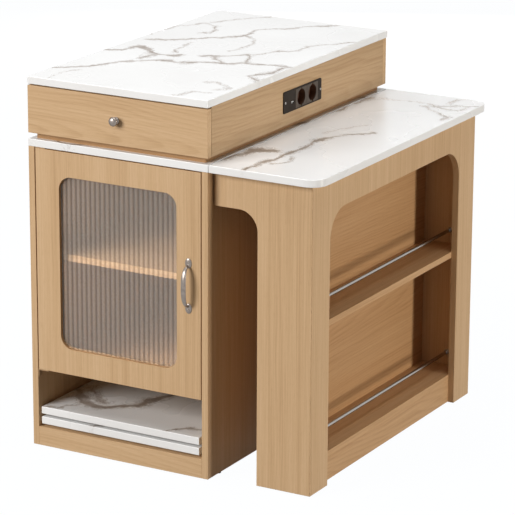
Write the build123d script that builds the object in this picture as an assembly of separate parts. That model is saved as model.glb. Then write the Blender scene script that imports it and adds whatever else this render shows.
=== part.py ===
from build123d import *
import os

# Extendable island cabinet with a pull-out table, in millimetres.
# While the pieces are drawn, X runs to the right, Y to the back and Z up from the floor, and
# X = 0, Y = 0 is the cabinet's front left corner. save() moves every piece to the row's origin.

# ---- driving dimensions ----
BOARD = 16.0            # veneered board
STONE = 18.0            # stone slab
DEPTH = 870.0           # cabinet, worktop and table top, front to back
CABINET_W = 480.0
WORKTOP_TOP = 750.0
GLIDE_H = 3.0           # plastic glides under the cabinet; the table stands on its castors
EDGE = 0.7              # eased edge of a board
STONE_EDGE = 1.5        # eased edge of a slab

# cabinet
KICK_TOP = 49.0         # top of the kickboard and of the floor board
DIVIDER_BOTTOM = 195.0
BEHIND_DOOR = 26.0      # front of everything the door's edge swings past
SHELF_BOTTOM = 462.0
SHELF_PIN_Y = (80.0, 790.0)
SHELF_PIN_HOLE_R = 2.55
SHELF_PIN_R = 2.5
SHELF_PEG_R = 3.0       # the part of each pin that the shelf lies on
STRETCHER_H = 16.0
MIDDLE_STRETCHER_Y = (400.0, 470.0)
BOX_STRETCHER_W = 62.0
GLIDE_R = 7.0

# door: inset, on a pivot at the bottom and the top of its left stile
DOOR_X = (18.0, 462.0)
DOOR_Z = (193.0, 729.5)
WINDOW_X = (82.0, 398.0)
WINDOW_Z = (255.0, 671.0)
WINDOW_R = 32.0
REBATE = 10.0           # how far the glass reaches behind the frame
REBATE_DEPTH = 8.0
GLASS_T = 4.0
REED_PITCH = 13.0
REED_H = 1.6
PIVOT_X = 32.0
PIVOT_R = 2.5
BUSH_R = 4.0
DOOR_EDGE_R = 2.0

# handle and knob
HANDLE_X = 429.5
HANDLE_FEET_Z = (407.5, 514.5)
FITTING_OUT = 26.0      # how far the handle stands out
KNOB_OUT = 20.5
KNOB_R = 11.5
KNOB_BASE_R = 8.5

# box on top of the worktop
PLINTH_H = 14.0
PLINTH_INSET = 15.0
BOX_BOTTOM = WORKTOP_TOP + PLINTH_H
BOX_TOP = 879.0         # underside of the top slab
BOX_DEPTH = 864.0
DRAWER_FRONT_TOP = 876.0
KNOB_Z = 822.0

# drawer
DRAWER_BACK_Y = 316.0
DRAWER_SIDE_X = 29.0    # outer face of the left drawer side
DRAWER_Z = (790.0, 856.0)
DRAWER_BOARD = 12.0
SLIDE_Z = 822.0
SLIDE_H = 35.0
SLIDE_WALL = 1.2

# power strip on the right side of the box
STRIP_Y = (342.0, 526.0)
STRIP_Z = (794.0, 846.0)
STRIP_PROUD = 2.5
STRIP_CUT = 2.0         # how far the panel's cut-out stays inside the plate, top and bottom
SOCKET_Y = (426.0, 480.0)
SOCKET_Z = 820.0
SOCKET_PITCH = 54.0
SOCKET_BODY_H = 44.5
SOCKET_R = 19.5
SOCKET_DEPTH = 17.5
PIN_HOLE_R = 2.5
PIN_SPACING = 19.0
USB_Y = 384.5
USB_Z = 815.0
STRIP_SCREW_IN = 7.0    # strip screws, in from each end of the plate
STRIP_DEPTH = 62.0      # how far the housing reaches into the box
HOUSING_WALL = 1.2
GLAND_IN = 32.0         # cable gland, in from the plate's rear end
GLAND_R = 3.6
CABLE_HOLE = (400.0, 800.0)     # X and Z of the hole in the box's back
CABLE_HOLE_R = 15.0
GROMMET_R = 12.0

# table
TABLE_X = (482.0, 762.0)
TABLE_CORNER_R = 39.0
FRONT_FACE = 23.0       # front face of the table's front panel
BACK_FACE = 850.0
SIDE_FACE = 734.0       # outer face of the table's side panel
APRON_X = 483.5
APRON_BOTTOM = 652.0
APRON_R = 48.5
LEG_X = 595.0
ARCH_LEG = 84.0
ARCH_TOP = 652.5
ARCH_R = 70.0
TABLE_FOOT = 3.0        # the panels clear the floor by this much
LOW_SHELF_TOP = 73.5
MID_SHELF_TOP = 390.0
MID_SHELF_T = 15.0
ROD_R = 4.5
ROD_X = 680.0
ROD_ABOVE_SHELF = 34.0

# extension rails: four members side by side, at the front and at the back
RAIL_TOP = 725.0
RAIL_H = 38.0
RAIL_T = 14.0
RAIL_STEP = 15.0        # one member to the next
RAIL_FRONT_Y = 60.0
RAIL_X = (17.0, 592.0)
FIXED_RAIL_END = 479.0
LAST_RAIL_START = 160.0
TONGUE = 5.0
TONGUE_H = 10.0
TONGUE_PLAY = 0.3
HANGER_T = 2.5          # steel straps between the fixed members and the stretchers
HANGER_X = (60.0, 240.0, 420.0)

# loose leaves in the bottom compartment: two of them fill the gap that the table leaves
LEAF_LEFT = 22.0
LEAF_W = 432.0
LEAF_FRONT = 4.0
LEAF_LENGTH = 848.0
LEAF_Z = (56.0, 81.0)   # underside of each slab
PAD_H = 6.8
PAD_R = 11.0
PAD_IN = (40.0, 85.0)   # pads, in from a slab's long and short edges

# castors under the table
WHEEL_R = 16.0
WHEEL_W = 16.0
WHEEL_X = (636.0, 681.0)
WHEEL_Y = (78.0, 795.0)
AXLE_R = 2.5
FORK_T = 2.5

# ---- sizes worked out from those ----
CARCASS_TOP = WORKTOP_TOP - STONE
TOP_SLAB_TOP = BOX_TOP + STONE
STRIP_FRONT = CABINET_W + STRIP_PROUD
INNER_X = (BOARD, CABINET_W - BOARD)
DRAWER_INNER_X = (DRAWER_SIDE_X + DRAWER_BOARD, CABINET_W - DRAWER_SIDE_X - DRAWER_BOARD)
SIDE_INNER = SIDE_FACE - BOARD
FRONT_INNER = FRONT_FACE + BOARD
BACK_INNER = BACK_FACE - BOARD
DOOR_MID_Y = BOARD / 2
RAIL_BACK_Y = DEPTH - RAIL_FRONT_Y
RAIL_PACK = 3 * RAIL_STEP + RAIL_T
LAST_RAIL_END = LEG_X - 3.0
LEAF_X = (LEAF_LEFT, LEAF_LEFT + LEAF_W)
STRIP_SCREW_Y = (STRIP_Y[0] + STRIP_SCREW_IN, STRIP_Y[1] - STRIP_SCREW_IN)
SHELF_PIN_Z = SHELF_BOTTOM - SHELF_PEG_R
SOCKET_FRONT = STRIP_FRONT + 0.5
ORIGIN = Vector(TABLE_X[1] / 2, (DEPTH - FITTING_OUT) / 2, 0)


# ---- helpers ----
def block(x, y, z):
    """A plain box between pairs of limits."""
    size = (x[1] - x[0], y[1] - y[0], z[1] - z[0])
    middle = ((x[0] + x[1]) / 2, (y[0] + y[1]) / 2, (z[0] + z[1]) / 2)
    return Pos(*middle) * Box(*size)


def board(x, y, z, edge=EDGE):
    """A box with eased edges."""
    plain = block(x, y, z)
    return fillet(plain.edges(), edge)


def cylinder(centre, radius, length, axis):
    """A cylinder about a point, along one of the axes X, Y or Z."""
    turn = {"X": Rot(0, 90, 0), "Y": Rot(90, 0, 0), "Z": Rot(0, 0, 0)}[axis]
    return Pos(*centre) * turn * Cylinder(radius, length)


def group(pieces):
    """Several separate solids that share a node."""
    return Compound([solid for piece in pieces for solid in piece.solids()])


def mirror_y(piece, middle=DEPTH / 2):
    """The same piece, mirrored front to back about the cabinet's middle."""
    return mirror(piece, about=Plane.XZ.offset(-middle))


def save(name, shape):
    export_step(shape.moved(Location(-ORIGIN)), f"parts/{name}.step")


# ---- cabinet ----
def side_panel(x, pin_x, notched):
    """One side. pin_x is the inner face, where the shelf pins go in, 10 mm deep."""
    panel = board(x, (0, DEPTH), (GLIDE_H, CARCASS_TOP))
    for y in SHELF_PIN_Y:
        panel -= cylinder((pin_x, y, SHELF_PIN_Z), SHELF_PIN_HOLE_R, 20.0, "X")
    if notched:
        for start in (RAIL_FRONT_Y, RAIL_BACK_Y - RAIL_PACK):
            slot = block((x[0] - 1, x[1] + 1), (start - 3, start + RAIL_PACK + 3),
                         (RAIL_TOP - RAIL_H - 3, CARCASS_TOP + 1))
            panel -= slot
    return panel


def cabinet_back():
    return board(INNER_X, (DEPTH - BOARD, DEPTH), (GLIDE_H, CARCASS_TOP))


def stretchers():
    """Cross boards that carry the worktop and the box's top slab."""
    low = (CARCASS_TOP - STRETCHER_H, CARCASS_TOP)
    high = (BOX_TOP - STRETCHER_H, BOX_TOP)
    ends = RAIL_FRONT_Y - HANGER_T
    box_y = (BOARD + 4, BOX_DEPTH - BOARD)
    rows = [((BEHIND_DOOR, ends), low), (MIDDLE_STRETCHER_Y, low), ((DEPTH - ends, DEPTH - BOARD), low)]
    rows += [((box_y[0], box_y[0] + BOX_STRETCHER_W), high), ((box_y[1] - BOX_STRETCHER_W, box_y[1]), high)]
    return group([board(INNER_X, y, z) for y, z in rows])


def shelf_pins():
    """Four pins, each with a thin end in the side and a thicker peg under the shelf."""
    pins = []
    for y in SHELF_PIN_Y:
        for wall, inward in ((INNER_X[0], 1), (INNER_X[1], -1)):
            shank = cylinder((wall - inward * 4.5, y, SHELF_PIN_Z), SHELF_PIN_R, 9.0, "X")
            peg = cylinder((wall + inward * 5.0, y, SHELF_PIN_Z), SHELF_PEG_R, 10.0, "X")
            pins.append(shank + peg)
    return group(pins)


def cabinet_glides():
    spots = [(x, y) for x in (BOARD / 2, CABINET_W - BOARD / 2) for y in (60.0, DEPTH - 60.0)]
    return group([Pos(x, y, GLIDE_H / 2) * Cylinder(GLIDE_R, GLIDE_H) for x, y in spots])


def slab(x, y, z, corner=0.0):
    """A stone slab, with an optional radius at its two right-hand corners."""
    shape = block(x, y, z)
    if corner:
        right = shape.edges().filter_by(Axis.Z).group_by(Axis.X)[-1]
        shape = fillet(right, corner)
    return fillet(shape.faces().sort_by(Axis.Z)[-1].edges()
                  + shape.faces().sort_by(Axis.Z)[0].edges(), STONE_EDGE)


def pivot_plates():
    """The two plates, each with its pin, that the door turns on."""
    plate_x, plate_y = (BOARD, PIVOT_X + 12), (1.5, 14.5)
    low = block(plate_x, plate_y, (DOOR_Z[0] - 2.8, DOOR_Z[0] - 0.4))
    low += cylinder((PIVOT_X, DOOR_MID_Y, DOOR_Z[0] + 5.6), PIVOT_R, 12.0, "Z")
    high = block(plate_x, plate_y, (DOOR_Z[1] + 0.4, CARCASS_TOP))
    high += cylinder((PIVOT_X, DOOR_MID_Y, DOOR_Z[1] - 5.6), PIVOT_R, 12.0, "Z")
    ear = block((BOARD, BOARD + 2.0), plate_y, (DOOR_Z[0] - 18, DOOR_Z[0] - 2.8))
    return group([low + ear, high])


def door_catch():
    housing = block((420.0, 450.0), (BEHIND_DOOR, BEHIND_DOOR + 14), (704.0, CARCASS_TOP - STRETCHER_H))
    nose = block((424.0, 446.0), (BOARD + 1.5, BEHIND_DOOR), (706.0, 714.0))
    return fillet(housing.edges().filter_by(Axis.Z), 1.5) + nose


# ---- box with the drawer, on the worktop ----
def box_side(x, cut_out):
    side = board(x, (BOARD + 1, BOX_DEPTH - BOARD), (BOX_BOTTOM, BOX_TOP))
    if cut_out:
        side -= block((x[0] - 1, x[1] + 1), (STRIP_Y[0] + 14, STRIP_Y[1] - 14),
                      (STRIP_Z[0] + STRIP_CUT, STRIP_Z[1] - STRIP_CUT))
        for y in STRIP_SCREW_Y:
            side -= cylinder((x[1] - 7, y, SOCKET_Z), 1.5, 14.2, "X")
    return side


def box_back():
    back = board((0, CABINET_W), (BOX_DEPTH - BOARD, BOX_DEPTH), (BOX_BOTTOM, BOX_TOP))
    x, z = CABLE_HOLE
    return back - cylinder((x, BOX_DEPTH - BOARD / 2, z), CABLE_HOLE_R, BOARD + 2, "Y")


def cable_grommet():
    """The ring in the box's back that the supply cable leaves through."""
    x, z = CABLE_HOLE
    face = BOX_DEPTH - BOARD
    sleeve = cylinder((x, face + 7.0, z), CABLE_HOLE_R - 0.1, 14.0, "Y")
    collar = cylinder((x, face - 1.0, z), CABLE_HOLE_R + 3.0, 2.0, "Y")
    return sleeve + collar - cylinder((x, face + 5, z), GROMMET_R, 40.0, "Y")


def strip_plate():
    """The front plate, with a window for the socket bodies, a USB opening and two screw holes."""
    plate = block((CABINET_W, STRIP_FRONT), STRIP_Y, STRIP_Z)
    plate = fillet(plate.edges().filter_by(Axis.X), 4.0)
    plate = fillet(plate.faces().sort_by(Axis.X)[-1].edges(), 1.0)
    window = (SOCKET_Y[0] - SOCKET_PITCH / 2, SOCKET_Y[1] + SOCKET_PITCH / 2)
    plate -= block((CABINET_W - 1, STRIP_FRONT + 1), window,
                   (SOCKET_Z - SOCKET_BODY_H / 2 - 0.2, SOCKET_Z + SOCKET_BODY_H / 2 + 0.2))
    plate -= block((CABINET_W - 1, STRIP_FRONT + 1), (USB_Y - 7.0, USB_Y + 7.0), (USB_Z - 3.2, USB_Z + 3.2))
    for y in STRIP_SCREW_Y:
        plate -= cylinder((CABINET_W, y, SOCKET_Z), 1.9, 12.0, "X")
    return plate


def socket_body(y):
    """A round earthed socket: a square body, a cup with two pin holes, and two slots for the clips."""
    front = SOCKET_FRONT
    back = front - SOCKET_DEPTH - 3.0
    half = SOCKET_PITCH / 2 - 0.2
    z = (SOCKET_Z - SOCKET_BODY_H / 2, SOCKET_Z + SOCKET_BODY_H / 2)
    body = block((back, front), (y - half, y + half), z)
    body = fillet(body.edges().filter_by(Axis.X), 2.0)
    body = fillet(body.faces().sort_by(Axis.X)[-1].edges(), 0.8)
    body -= cylinder((front - SOCKET_DEPTH / 2, y, SOCKET_Z), SOCKET_R, SOCKET_DEPTH, "X")
    for side in (-1, 1):
        body -= cylinder((back, y + side * PIN_SPACING / 2, SOCKET_Z), PIN_HOLE_R, 12.0, "X")
        slot_z = SOCKET_Z + side * (SOCKET_R + 0.9)
        body -= block((front - SOCKET_DEPTH, front + 1), (y - 3.2, y + 3.2), (slot_z - 1.4, slot_z + 1.4))
    return body


def earth_clips(y):
    """The two spring clips that stand in the wall slots of one socket."""
    x = (SOCKET_FRONT - SOCKET_DEPTH, SOCKET_FRONT - 2.0)
    clips = []
    for side in (-1, 1):
        z = SOCKET_Z + side * (SOCKET_R + 0.9)
        clips.append(block(x, (y - 2.6, y + 2.6), (z - 0.8, z + 0.8)))
    return clips


def usb_module():
    """The charging module behind the plate, with the tongue of its port."""
    z = (STRIP_Z[0] + 5, STRIP_Z[1] - 5)
    body = block((CABINET_W - 16, CABINET_W - 0.1), (USB_Y - 12, USB_Y + 12), z)
    body -= block((CABINET_W - 12, CABINET_W), (USB_Y - 6.6, USB_Y + 6.6), (USB_Z - 3.0, USB_Z + 3.0))
    tongue = block((CABINET_W - 12, CABINET_W + 1.5), (USB_Y - 5.6, USB_Y + 5.6), (USB_Z + 0.2, USB_Z + 2.2))
    return group([body, tongue])


def strip_housing():
    """The closed back box behind the plate, with a hole where the supply cable's gland sits."""
    x = (CABINET_W - STRIP_DEPTH, CABINET_W)
    y = (STRIP_Y[0] + 15, STRIP_Y[1] - 15)
    z = (STRIP_Z[0] + STRIP_CUT + 0.4, STRIP_Z[1] - STRIP_CUT - 0.4)
    wall = HOUSING_WALL
    hollow = block((x[0] + wall, x[1] + 1), (y[0] + wall, y[1] - wall), (z[0] + wall, z[1] - wall))
    shell = block(x, y, z) - hollow
    return shell - cylinder((x[0], STRIP_Y[1] - GLAND_IN, SOCKET_Z), 6.0, 12.0, "X")


def cable_gland():
    """The clamp on the back of the housing that holds the supply cable."""
    x, y = CABINET_W - STRIP_DEPTH, STRIP_Y[1] - GLAND_IN
    neck = cylinder((x - 1, y, SOCKET_Z), 5.9, 10.0, "X")
    nut = extrude(Plane.YZ.offset(x - 6) * Pos(y, SOCKET_Z) * RegularPolygon(9.5, 6), 6.0)
    dome = cylinder((x - 11, y, SOCKET_Z), 7.5, 10.0, "X")
    return neck + nut + dome - cylinder((x, y, SOCKET_Z), GLAND_R, 50.0, "X")


def strip_screws():
    screws = []
    for y in STRIP_SCREW_Y:
        shank = cylinder((CABINET_W - 5, y, SOCKET_Z), 1.5, 16.0, "X")
        head = cylinder((STRIP_FRONT + 0.6, y, SOCKET_Z), 3.0, 1.2, "X")
        slot = block((STRIP_FRONT + 0.6, STRIP_FRONT + 2), (y - 1.9, y + 1.9),
                     (SOCKET_Z - 0.35, SOCKET_Z + 0.35))
        screws.append(shank + head - slot)
    return group(screws)


# ---- drawer ----
def drawer_front():
    front = board((0, CABINET_W), (0, BOARD), (BOX_BOTTOM, DRAWER_FRONT_TOP))
    return front - cylinder((CABINET_W / 2, BOARD / 2, KNOB_Z), 2.2, BOARD + 2, "Y")


def drawer_walls():
    """The two sides and the back of the drawer box."""
    left = board((DRAWER_SIDE_X, DRAWER_INNER_X[0]), (BOARD, DRAWER_BACK_Y), DRAWER_Z)
    right = board((DRAWER_INNER_X[1], CABINET_W - DRAWER_SIDE_X), (BOARD, DRAWER_BACK_Y), DRAWER_Z)
    back = board(DRAWER_INNER_X, (DRAWER_BACK_Y - DRAWER_BOARD, DRAWER_BACK_Y), DRAWER_Z)
    return group([left, right, back])


def drawer_bottom():
    y = (BOARD, DRAWER_BACK_Y - DRAWER_BOARD)
    return block(DRAWER_INNER_X, y, (DRAWER_Z[0] + 3, DRAWER_Z[0] + 8))


def drawer_knob():
    """A turned knob with a flange, a waist and a domed head."""
    stem = Polyline((0, 0), (KNOB_BASE_R, 0), (KNOB_BASE_R, 2.0), (5.2, 3.6), (4.6, 6.4), (5.8, 9.4))
    rim = ThreePointArc((5.8, 9.4), (KNOB_R, 14.2), (9.0, 18.0))
    dome = ThreePointArc((9.0, 18.0), (5.4, 19.7), (1.0, KNOB_OUT))
    close = Polyline((1.0, KNOB_OUT), (0, KNOB_OUT), (0, 0))
    turned = revolve(make_face(stem.edges() + rim.edges() + dome.edges() + close.edges()), Axis.Y)
    knob = Pos(CABINET_W / 2, 0, KNOB_Z) * Rot(180, 0, 0) * turned
    return knob - cylinder((CABINET_W / 2, -6.0, KNOB_Z), 2.05, 12.0, "Y")


def knob_screw():
    head = cylinder((CABINET_W / 2, BOARD + 1.1, KNOB_Z), 4.5, 2.2, "Y")
    shank = cylinder((CABINET_W / 2, BOARD - 12.0, KNOB_Z), 2.0, 24.0, "Y")
    return fillet(head.faces().sort_by(Axis.Y)[-1].edges(), 1.2) + shank


def channel(x_web, x_lip, y, half_height):
    """A slide member: a C section that runs along Y, its web at x_web and its lips towards x_lip."""
    inward = 1 if x_lip > x_web else -1
    wall = SLIDE_WALL
    web = block(sorted((x_web, x_web + inward * wall)), y, (SLIDE_Z - half_height, SLIDE_Z + half_height))
    for side in (-1, 1):
        edge = SLIDE_Z + side * half_height
        web += block(sorted((x_web, x_lip)), y, sorted((edge, edge - side * wall)))
    return web


def both_sides(make):
    """A left piece and its mirror image on the right."""
    left = make()
    return group([left, mirror(left, about=Plane.YZ.offset(CABINET_W / 2))])


def slide_outer():
    return channel(BOARD, 26.4, (20.0, 320.0), SLIDE_H / 2)


def slide_middle():
    return channel(18.4, 27.2, (22.0, 312.0), SLIDE_H / 2 - 2.6)


def slide_inner():
    return channel(DRAWER_SIDE_X, 20.8, (18.0, 314.0), SLIDE_H / 2 - 5.4)


# ---- door ----
def rounded_window(grow, y):
    """A prism through the door with the window's outline, grown outwards."""
    width = WINDOW_X[1] - WINDOW_X[0] + 2 * grow
    height = WINDOW_Z[1] - WINDOW_Z[0] + 2 * grow
    outline = RectangleRounded(width, height, WINDOW_R + grow)
    place = Pos((WINDOW_X[0] + WINDOW_X[1]) / 2, y[0], (WINDOW_Z[0] + WINDOW_Z[1]) / 2)
    return place * Rot(90, 0, 0) * extrude(outline, -(y[1] - y[0]))


def door_frame():
    door = block(DOOR_X, (0, BOARD), DOOR_Z)
    door = fillet(door.edges().filter_by(Axis.Z), DOOR_EDGE_R)
    door = fillet(door.faces().sort_by(Axis.Z)[-1].edges() + door.faces().sort_by(Axis.Z)[0].edges(), EDGE)
    door -= rounded_window(0, (-1, BOARD + 1))
    door -= rounded_window(REBATE, (BOARD - REBATE_DEPTH, BOARD + 1))
    for z in (DOOR_Z[0] + 6.0, DOOR_Z[1] - 6.0):
        door -= cylinder((PIVOT_X, DOOR_MID_Y, z), BUSH_R, 12.01, "Z")
    for z in (HANDLE_FEET_Z[0] - 4.0, HANDLE_FEET_Z[1] + 4.0):
        door -= cylinder((HANDLE_X, 6.0, z), 1.6, 12.2, "Y")
    return door


def pivot_bushes():
    bushes = []
    for z in (DOOR_Z[0] + 6.0, DOOR_Z[1] - 6.0):
        outer = cylinder((PIVOT_X, DOOR_MID_Y, z), BUSH_R, 12.0, "Z")
        bushes.append(outer - cylinder((PIVOT_X, DOOR_MID_Y, z), PIVOT_R + 0.05, 14.0, "Z"))
    return group(bushes)


def door_glass():
    """Reeded glass: a flat sheet with upright half-round ribs on its front."""
    sheet_y = (BOARD - REBATE_DEPTH + REED_H, BOARD - REBATE_DEPTH + REED_H + GLASS_T - REED_H)
    outline = rounded_window(REBATE - 0.5, (sheet_y[0] - REED_H, sheet_y[1]))
    start = WINDOW_X[0] - REBATE
    count = round((WINDOW_X[1] - WINDOW_X[0] + 2 * REBATE) / REED_PITCH)
    crest = sheet_y[0] - REED_H
    ribs = [ThreePointArc((start + i * REED_PITCH, sheet_y[0]),
                          (start + (i + 0.5) * REED_PITCH, crest),
                          (start + (i + 1) * REED_PITCH, sheet_y[0])) for i in range(count)]
    end = start + count * REED_PITCH
    back = Polyline((end, sheet_y[0]), (end, sheet_y[1]), (start, sheet_y[1]), (start, sheet_y[0]))
    section = make_face([rib.edge() for rib in ribs] + list(back.edges()))
    height = WINDOW_Z[1] - WINDOW_Z[0] + 2 * REBATE
    sheet = Pos(0, 0, WINDOW_Z[0] - REBATE) * extrude(section, height)
    return sheet & outline


def glass_retainer():
    ring = rounded_window(REBATE - 0.3, (BOARD - 3.8, BOARD - 0.2))
    return ring - rounded_window(-2.0, (0, BOARD + 1))


def handle_foot(screw_z, root_z):
    """An oval plate with a raised boss where the bow grows out of it."""
    middle = (screw_z + root_z) / 2
    oval = extrude(Plane.XZ * Ellipse(7.5, 12.5), 3.2)
    plate = fillet(oval.faces().sort_by(Axis.Y)[0].edges(), 1.4)
    plate = Pos(HANDLE_X, 0, middle) * plate
    return plate - cylinder((HANDLE_X, -1.5, screw_z), 1.9, 8.0, "Y")


def door_handle():
    """A cast bow handle between two screwed feet."""
    low_z, high_z = HANDLE_FEET_Z
    middle = (low_z + high_z) / 2
    rise = FITTING_OUT - 3.0
    bow = ThreePointArc((HANDLE_X, -rise + 3.5, middle - 30), (HANDLE_X, -rise, middle),
                        (HANDLE_X, -rise + 3.5, middle + 30))
    high = TangentArc((HANDLE_X, -rise + 3.5, middle + 30), (HANDLE_X, -1.5, high_z - 6), tangent=bow % 1)
    low = mirror(high, about=Plane.XY.offset(middle))
    section = Plane(origin=bow @ 0.5, x_dir=(1, 0, 0), z_dir=bow % 0.5) * Ellipse(4.6, 3.0)
    grip = sweep(section, path=bow)
    ends = []
    for arc, near in ((high, middle + 30), (low, middle - 30)):
        at_bow = 0 if (arc @ 0 - Vector(HANDLE_X, -rise + 3.5, near)).length < 0.01 else 1
        start = Plane(origin=arc @ at_bow, x_dir=(1, 0, 0), z_dir=arc % at_bow)
        ends.append(sweep(start * Ellipse(4.6, 3.0), path=arc))
    feet = handle_foot(high_z + 4, high_z - 4) + handle_foot(low_z - 4, low_z + 4)
    return grip + ends[0] + ends[1] + feet


def handle_screws():
    screws = []
    for z in (HANDLE_FEET_Z[0] - 4.0, HANDLE_FEET_Z[1] + 4.0):
        shank = cylinder((HANDLE_X, 4.0, z), 1.6, 15.0, "Y")
        head = cylinder((HANDLE_X, -4.1, z), 3.4, 1.8, "Y")
        head = fillet(head.faces().sort_by(Axis.Y)[0].edges(), 0.9)
        cross = block((HANDLE_X - 2.2, HANDLE_X + 2.2), (-6, -4.3), (z - 0.4, z + 0.4))
        cross += block((HANDLE_X - 0.4, HANDLE_X + 0.4), (-6, -4.3), (z - 2.2, z + 2.2))
        screws.append(shank + head - cross)
    return group(screws)


def strike_plate():
    return board((422.0, 448.0), (BOARD, BOARD + 1.2), (703.0, 717.0), 0.4)


# ---- table ----
def mitre(plan):
    """A wedge that cuts the end of an upright board at 45 degrees, from the corners of its plan."""
    outline = make_face(Polyline(*plan, close=True).edges())
    return extrude(outline, CARCASS_TOP + 1)


def table_front_panel():
    """An inverted L: an apron towards the cabinet and a leg down to the floor."""
    z = (TABLE_FOOT, CARCASS_TOP)
    panel = block((APRON_X, SIDE_FACE), (FRONT_FACE, FRONT_INNER), z)
    panel -= block((APRON_X - 1, LEG_X), (FRONT_FACE - 1, FRONT_INNER + 1), (0, APRON_BOTTOM))
    corner = panel.edges().filter_by(Axis.Y).filter_by_position(Axis.X, LEG_X - 1, LEG_X + 1)
    corner = corner.filter_by_position(Axis.Z, APRON_BOTTOM - 1, APRON_BOTTOM + 1)
    panel = fillet(corner, APRON_R)
    panel -= mitre([(SIDE_INNER, FRONT_INNER), (SIDE_FACE + 1, FRONT_FACE - 1),
                    (SIDE_FACE + 1, FRONT_INNER + 1), (SIDE_INNER, FRONT_INNER + 1)])
    rim = panel.faces().sort_by(Axis.Y)[0].outer_wire().edges()
    return fillet(rim, EDGE)


def table_side_panel():
    """The outer side: two legs and a rail above, around a wide arch that is open to the floor."""
    panel = block((SIDE_INNER, SIDE_FACE), (FRONT_FACE, BACK_FACE), (TABLE_FOOT, CARCASS_TOP))
    arch = block((SIDE_INNER - 1, SIDE_FACE + 1), (FRONT_FACE + ARCH_LEG, BACK_FACE - ARCH_LEG),
                 (-ARCH_R, ARCH_TOP))
    arch = fillet(arch.edges().filter_by(Axis.X).group_by(Axis.Z)[-1], ARCH_R)
    panel -= arch
    for corner, inside in ((FRONT_FACE, FRONT_INNER), (BACK_FACE, BACK_INNER)):
        panel -= mitre([(SIDE_INNER, inside), (SIDE_FACE, corner), (SIDE_INNER - 1, corner),
                        (SIDE_INNER - 1, inside)])
    rim = panel.faces().sort_by(Axis.X)[-1].outer_wire().edges()
    return fillet(rim, EDGE)


def between_panels(x, z):
    """A board of the table that runs from the front panel to the back panel."""
    return board(x, (FRONT_INNER, BACK_INNER), z)


def table_shelves():
    x = (LEG_X + BOARD, SIDE_INNER)
    low = between_panels(x, (LOW_SHELF_TOP - BOARD, LOW_SHELF_TOP))
    return group([low, between_panels(x, (MID_SHELF_TOP - MID_SHELF_T, MID_SHELF_TOP))])


def guard_rods():
    rods = []
    for shelf in (LOW_SHELF_TOP, MID_SHELF_TOP):
        middle = (ROD_X, (FRONT_INNER + BACK_INNER) / 2, shelf + ROD_ABOVE_SHELF)
        rods.append(cylinder(middle, ROD_R, BACK_INNER - FRONT_INNER - 1.0, "Y"))
    return rods


def rod_sockets():
    """A flanged cup at each end of each rod."""
    cups = []
    for shelf in (LOW_SHELF_TOP, MID_SHELF_TOP):
        for wall, inward in ((FRONT_INNER, 1), (BACK_INNER, -1)):
            z = shelf + ROD_ABOVE_SHELF
            cup = cylinder((ROD_X, wall + inward * 4.0, z), ROD_R + 1.5, 8.0, "Y")
            cup += cylinder((ROD_X, wall + inward * 1.0, z), ROD_R + 2.5, 2.0, "Y")
            cups.append(cup - cylinder((ROD_X, wall + inward * 4.75, z), ROD_R + 0.05, 8.5, "Y"))
    return cups


# ---- extension rails ----
def rail_member(index, x):
    """One member of the front set, with a groove in its front face and a tongue on its back face."""
    start = RAIL_FRONT_Y + index * RAIL_STEP
    middle = RAIL_TOP - RAIL_H / 2
    member = block(x, (start, start + RAIL_T), (RAIL_TOP - RAIL_H, RAIL_TOP))
    half = TONGUE_H / 2
    if index > 0:
        groove_z = (middle - half - TONGUE_PLAY, middle + half + TONGUE_PLAY)
        member -= block((x[0] - 1, x[1] + 1), (start - 1, start + TONGUE), groove_z)
    if index < 3:
        back = start + RAIL_T
        member += block(x, (back, back + TONGUE), (middle - half, middle + half))
    return member


def rail_pair(index, x):
    front = rail_member(index, x)
    return [front, mirror_y(front)]


def rail_hangers():
    """Straps that screw the fixed members to the stretchers."""
    straps = []
    for x in HANGER_X:
        strap = block((x - 15, x + 15), (RAIL_FRONT_Y - HANGER_T, RAIL_FRONT_Y),
                      (RAIL_TOP - 30, CARCASS_TOP - 1))
        straps += [strap, mirror_y(strap)]
    return straps


def rail_end_brackets():
    """Brackets that fasten the last members to the table's inner panel."""
    start = RAIL_FRONT_Y + 3 * RAIL_STEP
    z = (RAIL_TOP - RAIL_H, RAIL_TOP)
    foot = block((LAST_RAIL_END, LEG_X), (start, start + RAIL_T + 24), z)
    web = block((LAST_RAIL_END - 40.0, LAST_RAIL_END), (start + RAIL_T, start + RAIL_T + 2.5), z)
    bracket = foot + web
    return [bracket, mirror_y(bracket)]


# ---- leaves ----
def leaf_slab(z):
    return slab(LEAF_X, (LEAF_FRONT, LEAF_FRONT + LEAF_LENGTH), (z, z + STONE))


def leaf_pads(z):
    pads = []
    for x in (LEAF_X[0] + PAD_IN[0], LEAF_X[1] - PAD_IN[0]):
        for y in (LEAF_FRONT + PAD_IN[1], LEAF_FRONT + LEAF_LENGTH - PAD_IN[1]):
            pads.append(Pos(x, y, z - PAD_H / 2) * Cylinder(PAD_R, PAD_H))
    return group(pads)


# ---- castors ----
def castor_forks():
    """A plate and two cheeks for each roller."""
    forks = []
    top = LOW_SHELF_TOP - BOARD
    for x in WHEEL_X:
        for y in WHEEL_Y:
            fork = block((x - 15, x + 15), (y - 22, y + 22), (top - FORK_T, top))
            for side in (-1, 1):
                inner = y + side * (WHEEL_W / 2 + 1.0)
                outer = inner + side * FORK_T
                fork += block((x - 9, x + 9), sorted((inner, outer)), (WHEEL_R - 9, top - FORK_T))
            axle = cylinder((x, y, WHEEL_R), AXLE_R, WHEEL_W + 9.0, "Y")
            forks.append(fork + axle)
    return group(forks)


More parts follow.
